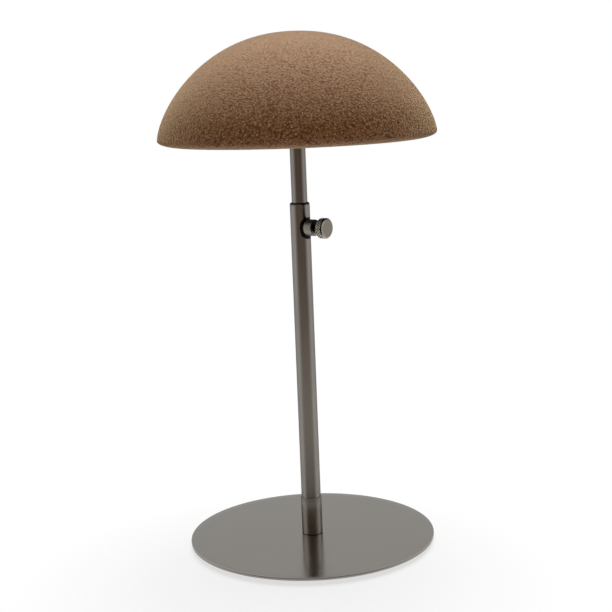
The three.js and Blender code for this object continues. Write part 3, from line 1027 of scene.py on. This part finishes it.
def make_cover():
    """Faux suede, stretched over the dome and turned under its lip in small gathers."""
    under = [turn_under_radius + turn_under_step * step for step in range(turn_under_steps)]
    outline = [(radius, dome_bottom) for radius in under] + dome_outline(40, 12)
    cover = turned("suede_sheet", outline, cover_sides)
    gather(cover)
    add_and_apply(cover, "SOLIDIFY", thickness=cover_thickness * MM, offset=-1, use_even_offset=True)
    smooth(cover, 50)
    fitted(cover, "head", finish["suede"], "suede_cover")


def gather(cover):
    """Small uneven gathers where the cloth is turned under and pulled tight."""
    draw = random.Random(11)
    folds = [(draw.uniform(0, 2 * math.pi), draw.uniform(0.25, 0.6)) for _ in range(gather_count)]
    for point in cover.data.vertices:
        radius = math.hypot(point.co.x, point.co.y) / MM
        if radius > gather_end_radius or point.co.z > (dome_bottom + 0.5) * MM:
            continue
        share = (gather_end_radius - radius) / (gather_end_radius - turn_under_radius)
        angle = math.atan2(point.co.y, point.co.x)
        push = 0
        for fold, depth in folds:
            apart = (angle - fold + math.pi) % (2 * math.pi) - math.pi
            push += depth * math.exp(-((apart / gather_width) ** 2))
        point.co.z -= min(push, gather_most) * share * MM


def make_lining():
    """A felt disc on the board's underside."""
    low, top = lining_bottom, lining_top
    inside, edge = hub_radius + clearance, lining_round
    outline = [(inside, low), (lining_ring, low)]
    outline += arc(lining_radius - edge, low + edge, edge, -90, 2)
    outline += [(lining_radius, top), (inside, top)]
    lining = turned("felt_lining", outline, 128)
    for number in range(3):
        spot = on_circle(flange_screw_circle, 120 * number)
        cut(lining, drill("lining_hole", lining_hole_radius, low - 1, top + 1, *spot, sides=24))
    fitted(smooth(lining), "head", finish["lining"], "underside_lining")


def make_flange():
    """A pressed socket plate: its hub is inside the head, and its screws are countersunk."""
    low, high = flange_bottom, flange_bottom + flange_thickness
    hub, bore = hub_radius, hub_bore
    outline = [(bore, low + 0.3), (bore + 0.3, low)] + arc(flange_radius - 0.5, low + 0.5, 0.5, -90)
    outline += [(flange_radius, high - 0.1), (flange_radius - 0.1, high), (hub + 0.3, high)]
    outline += [(hub, high + 0.3), (hub, hub_top - 0.4), (hub - 0.4, hub_top)]
    outline += [(hub_bolt_hole, hub_top), (hub_bolt_hole, hub_floor), (bore, hub_floor)]
    flange = turned("socket_flange", outline, 96)
    head, hole = wood_screw_head + clearance, wood_screw_radius + clearance
    sink = [(0, low - 1), (head, low - 1), (head, low), (hole, low + 1.5), (hole, high + 1)]
    sink += [(0, high + 1)]
    for number in range(3):
        x, y = on_circle(flange_screw_circle, 120 * number)
        cut(flange, moved(turned("sink", sink, 48), x, y))
    fitted(smooth(flange), "head", finish["zinc"], "head_flange")


def make_flange_screws():
    """Countersunk wood screws with a tapered cross in their heads."""
    low, wide, shank = flange_bottom, wood_screw_head, wood_screw_radius
    outline = [(0, low + 0.05), (wide - 0.6, low + 0.02), (wide - 0.15, low + 0.12)]
    outline += [(wide, low + 0.3), (shank + 0.1, low + 1.5), (shank, low + 1.8)]
    outline += [(shank, low + wood_screw_length - 1.5), (0, low + wood_screw_length)]
    first = turned("cross_screw_1", outline, 48)
    deselect()
    bpy.ops.mesh.primitive_cube_add(size=cross_width * MM, location=(0, 0, (low + 0.2) * MM))
    cross = named("cross")
    for side in ((1, 0), (-1, 0), (0, 1), (0, -1)):
        shape = begin(cross, "FACE")
        outward = Vector((*side, 0))
        wall = [face for face in shape.faces if face.normal.dot(outward) > 0.9]
        wall = [face for face in wall if face.calc_center_median().dot(outward) > 0.3 * MM]
        pick(cross, shape, wall)
        step = outward * cross_arm * MM
        bpy.ops.mesh.extrude_region_move(TRANSFORM_OT_translate={"value": step})
        bpy.ops.transform.resize(value=(0.75 if side[1] else 1, 0.75 if side[0] else 1, 1))
        end()
    shape = begin(cross)
    pick(cross, shape, [point for point in shape.verts if point.co.z > (low + 0.3) * MM])
    centre = (0, 0, (low + 0.5) * MM)
    bpy.ops.transform.translate(value=(0, 0, 0.5 * MM))
    bpy.ops.transform.resize(value=(0.6, 0.6, 1), center_override=centre)
    end()
    cut(first, cross)
    smooth(first)
    screws = [first] + [copy_of(first, f"cross_screw_{number}") for number in (2, 3)]
    for number, screw in enumerate(screws):
        screw.data.transform(Matrix.Rotation(math.radians(20 + 47 * number), 4, "Z"))
        moved(screw, *on_circle(flange_screw_circle, 120 * number))
        fitted(screw, "head", finish["zinc"], f"flange_screw_{number + 1}")


make_plate()
make_feet()
make_base_screw()
make_collar()
make_outer_tube()
make_inner_tube()
make_boss()
make_thumb_screw()
make_thread()
make_tip()
make_cover()
make_lining()
make_flange()
make_flange_screws()

# Nodes whose shape is right keep it, and get their material.
kept_finishes = {
    "guide_bush": "nylon",
    "top_plug": "zinc",
    "head_washer": "zinc",
    "head_bolt": "zinc",
    "closing_board": "board",
    "shell_screw_1": "zinc",
    "shell_screw_2": "zinc",
    "shell_screw_3": "zinc",
    "head_shell": "shell",
}
for node_name, finish_name in kept_finishes.items():
    nodes[node_name].data.materials.clear()
    nodes[node_name].data.materials.append(finish[finish_name])


# Studio: floor, world, light and camera


def seen_directly(new):
    """1 for rays from the camera, from a mirror or through glass, and 0 for all others."""
    kinds = ("Is Camera Ray", "Is Glossy Ray", "Is Transmission Ray")
    camera, mirror, glass = (new.node("ShaderNodeLightPath", out=kind) for kind in kinds)
    return (camera + mirror + glass).held()


def make_floor():
    """A pale floor. The camera and mirrors see bright paper that keeps the object's shadow and
    turns white further out, other rays meet plain grey, and from below it is clear."""
    deselect()
    bpy.ops.mesh.primitive_plane_add(size=40)
    floor = named("floor")
    new = Finish("floor_paper")
    plain = new.node("ShaderNodeBsdfDiffuse", {}, {"Color": shade(1, 1, 1, floor_albedo)})
    paper = new.node("ShaderNodeBsdfDiffuse", {}, {"Color": shade(1, 1, 1, floor_seen)})
    bright = new.node("ShaderNodeAddShader", {}, {0: paper, 1: new.glow(WHITE, floor_glow)})
    away = new.node("ShaderNodeVectorMath", {"operation": "LENGTH"}, {0: new.place()}, out=1)
    far = away.from_to(floor_near, floor_far)
    above = new.either(seen_directly(new), plain, new.either(far, bright, new.glow(WHITE)))
    behind = new.node("ShaderNodeNewGeometry", out="Backfacing")
    clear = new.node("ShaderNodeBsdfTransparent")
    floor.data.materials.append(new.ends_in(new.either(behind, above, clear)))


def make_world():
    """Even soft light, which the camera and mirrors see as white."""
    new = Finish("studio", world=True)
    soft = new.node("ShaderNodeBackground", {}, {"Color": WHITE, "Strength": world_light})
    white = new.node("ShaderNodeBackground", {}, {"Color": WHITE, "Strength": 1.0})
    bpy.context.scene.world = new.ends_in(new.either(seen_directly(new), soft, white))


def make_light():
    """One broad overhead light, a little behind the stand."""
    lamp = bpy.data.lights.new("overhead", "SUN")
    lamp.energy = lamp_strength * math.pi
    lamp.angle = math.radians(lamp_spread)
    holder = bpy.data.objects.new("overhead", lamp)
    bpy.context.scene.collection.objects.link(holder)
    across = camera_azimuth - math.radians(lamp_aside)
    lean = math.radians(lamp_lean)
    level = Vector((math.sin(across), -math.cos(across), 0))
    towards = level * math.sin(lean) + Vector((0, 0, math.cos(lean)))
    holder.rotation_mode = "QUATERNION"
    holder.rotation_quaternion = towards.to_track_quat("Z", "Y")
    holder.visible_glossy = False


def make_camera():
    """The photograph's camera, which is a little rolled."""
    data = bpy.data.cameras.new("camera")
    data.sensor_width = 36
    data.lens = camera_lens
    data.clip_start, data.clip_end = 0.01, 100
    camera = bpy.data.objects.new("camera", data)
    bpy.context.scene.collection.objects.link(camera)
    aside, ahead = math.sin(camera_pan), math.cos(camera_pan)
    lean = math.cos(camera_tilt)
    forward = Vector((aside * lean, ahead * lean, -math.sin(camera_tilt)))
    level = forward.cross(Vector((0, 0, 1))).normalized()
    rise = level.cross(forward)
    right = level * math.cos(camera_roll) + rise * math.sin(camera_roll)
    up = rise * math.cos(camera_roll) - level * math.sin(camera_roll)
    facing = Matrix((right, up, -forward)).transposed()
    heading = Matrix.Rotation(camera_azimuth, 3, "Z")
    place = heading @ Vector((0, -camera_distance, camera_height)) * MM
    camera.matrix_world = Matrix.Translation(place) @ (heading @ facing).to_4x4()
    bpy.context.scene.camera = camera


def card_finish(name, near, far):
    """A dark card's paper. It fades out to both sides of the camera and, where it is mirrored
    directly, upwards. With the distance from the pole it turns from one colour to the other, and near
    the base it is darker, a painted shadow of the stand."""
    new = Finish(name)
    spot = new.place()
    forward = new.reach_along(spot, (math.sin(camera_azimuth), -math.cos(camera_azimuth), 0))
    sideways = new.reach_along(spot, (math.cos(camera_azimuth), math.sin(camera_azimuth), 0))
    angle = sideways.math("ARCTAN2", abs(sideways), forward)
    start, stop = (math.radians(degrees) for degrees in card_fade)
    high = new.node("ShaderNodeSeparateXYZ", {}, {0: spot}, out="Z").from_to(*card_top_fade)
    depth = new.node("ShaderNodeLightPath", out="Ray Depth")
    fade = (angle.from_to(start, stop) ** 1.5 + high * (1 - depth.above(1.5))).held()
    distance = (forward * forward + sideways * sideways) ** 0.5
    colour = new.mix(distance.from_to(*card_reach) ** 0.75, near, far)
    # Painted shadow of the stand, near the base.
    painted_stand_shadow = 1 - distance.from_to(card_start, card_shaded)
    colour = new.mix(painted_stand_shadow * 0.45, colour, shade(0.05, 0.05, 0.05))
    clear = new.node("ShaderNodeBsdfTransparent")
    return new.ends_in(new.either(fade, new.glow(colour), clear))


def make_dark_cards():
    """Dark cards on the camera's side of the studio, one standing and one on the floor, which
    only the metal mirrors."""
    deselect()
    bpy.ops.mesh.primitive_cylinder_add(
        vertices=72,
        radius=card_distance,
        depth=card_height,
        end_fill_type="NOTHING",
        location=(0, 0, card_height / 2),
    )
    standing = named("standing_card")
    standing.data.materials.append(card_finish("standing_paper", card_upright, card_upright))
    deselect()
    bpy.ops.mesh.primitive_circle_add(
        vertices=72,
        radius=card_distance,
        fill_type="NGON",
        location=(0, 0, card_lift),
    )
    flat = named("floor_card")
    begin(flat, "FACE")
    bpy.ops.mesh.select_all(action="SELECT")
    bpy.ops.mesh.inset(thickness=card_distance - card_start)
    bpy.ops.mesh.delete(type="FACE")
    end()
    flat.data.materials.append(card_finish("floor_card_paper", card_near, card_far))
    for card in (standing, flat):
        only_mirrored(card)


def only_mirrored(card):
    """Keeps a card of the studio from all but mirror reflections."""
    for kind in ("camera", "diffuse", "transmission", "shadow", "volume_scatter"):
        setattr(card, f"visible_{kind}", False)


def make_side_panels():
    """Two soft bright panels, one at each side of the camera's view. They show only in second
    reflections, where metal is seen in metal."""
    for name, side in (("left_panel", -1), ("right_panel", 1)):
        turn = camera_azimuth + side * math.radians(panel_aside)
        level = (math.cos(turn), math.sin(turn), 0)
        centre = (panel_distance * math.sin(turn), -panel_distance * math.cos(turn), panel_height)
        deselect()
        bpy.ops.mesh.primitive_plane_add(size=2, location=centre, rotation=(QUARTER, 0, turn))
        bpy.context.active_object.scale = (panel_reach, panel_rise, 1)
        panel = named(name)
        new = Finish(name + "_cloth")
        spot = new.place((1, 1, 1), centre)
        across = new.reach_along(spot, level) * (1 / panel_reach)
        up = new.reach_along(spot, (0, 0, 1)) * (1 / panel_rise)
        depth = new.node("ShaderNodeLightPath", out="Ray Depth")
        share = ((1 - across * across) * (1 - up * up)).held() ** 0.5 * depth.above(1.5)
        clear = new.node("ShaderNodeBsdfTransparent")
        cloth = new.glow(WHITE, panel_light)
        panel.data.materials.append(new.ends_in(new.either(share, clear, cloth)))
        only_mirrored(panel)


bpy.context.scene.view_settings.view_transform = "Standard"
make_camera()
make_floor()
make_world()
make_light()
make_dark_cards()
make_side_panels()
